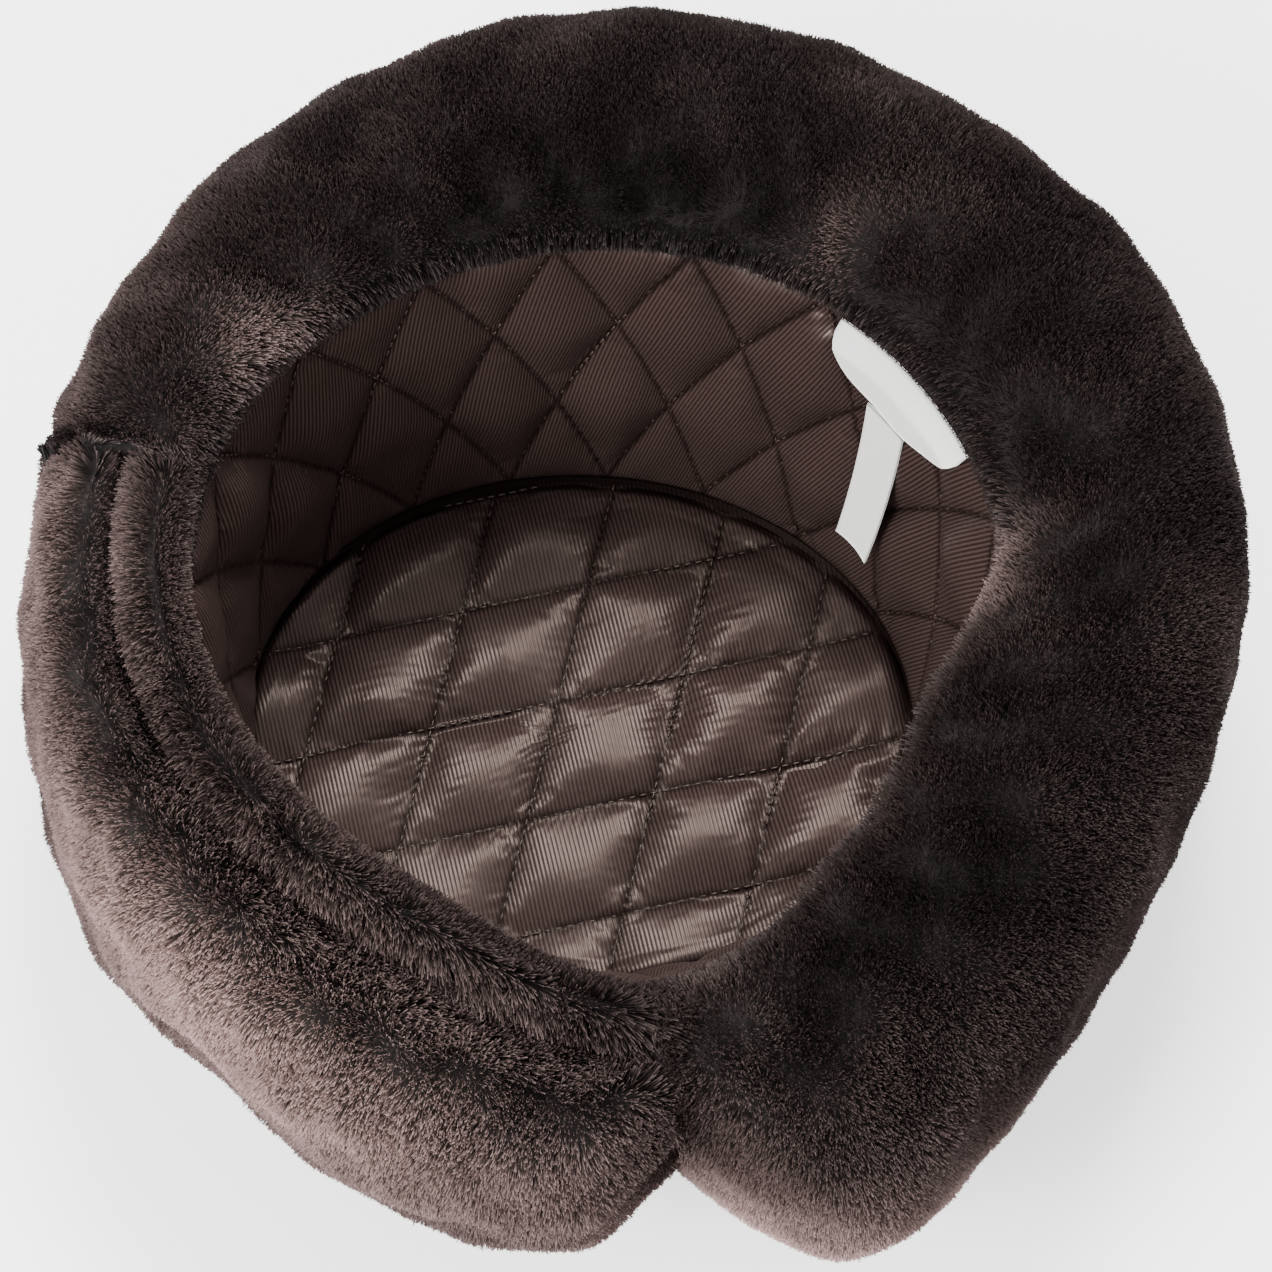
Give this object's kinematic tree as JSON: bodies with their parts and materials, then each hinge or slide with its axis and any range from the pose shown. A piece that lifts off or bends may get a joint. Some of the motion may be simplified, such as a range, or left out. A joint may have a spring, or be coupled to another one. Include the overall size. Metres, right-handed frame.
{
  "type": "ushanka",
  "caption": "Ushanka of dark brown shorn lambskin, lying on its crown with its flaps turned up and its quilted satin lining open to view.",
  "frame": {"origin": "middle of the crown's resting face, under the centre of the head opening", "axes": "+Z out of the head opening, +Y towards the back of the hat, -Y towards the front visor"},
  "size_m": [0.3019, 0.3, 0.12],
  "materials": {
    "lambskin": "dense shorn fur nap",
    "suede": "suede",
    "skin_edge": "cut raw edge",
    "quilted_satin": "quilted twill satin",
    "label_cloth": "woven satin, bare"
  },
  "bodies": {
    "root": {"crown_tip": "suede", "crown_side": "suede", "lining_tip": "quilted_satin", "lining_side": "quilted_satin", "skin_edge_welt": "skin_edge", "ear_flap_right": "lambskin", "neck_flap": "lambskin", "ear_flap_left": "lambskin", "front_visor": "lambskin", "front_rim_roll": "lambskin", "maker_label": "label_cloth", "care_label": "label_cloth"}
  },
  "joints": []
}
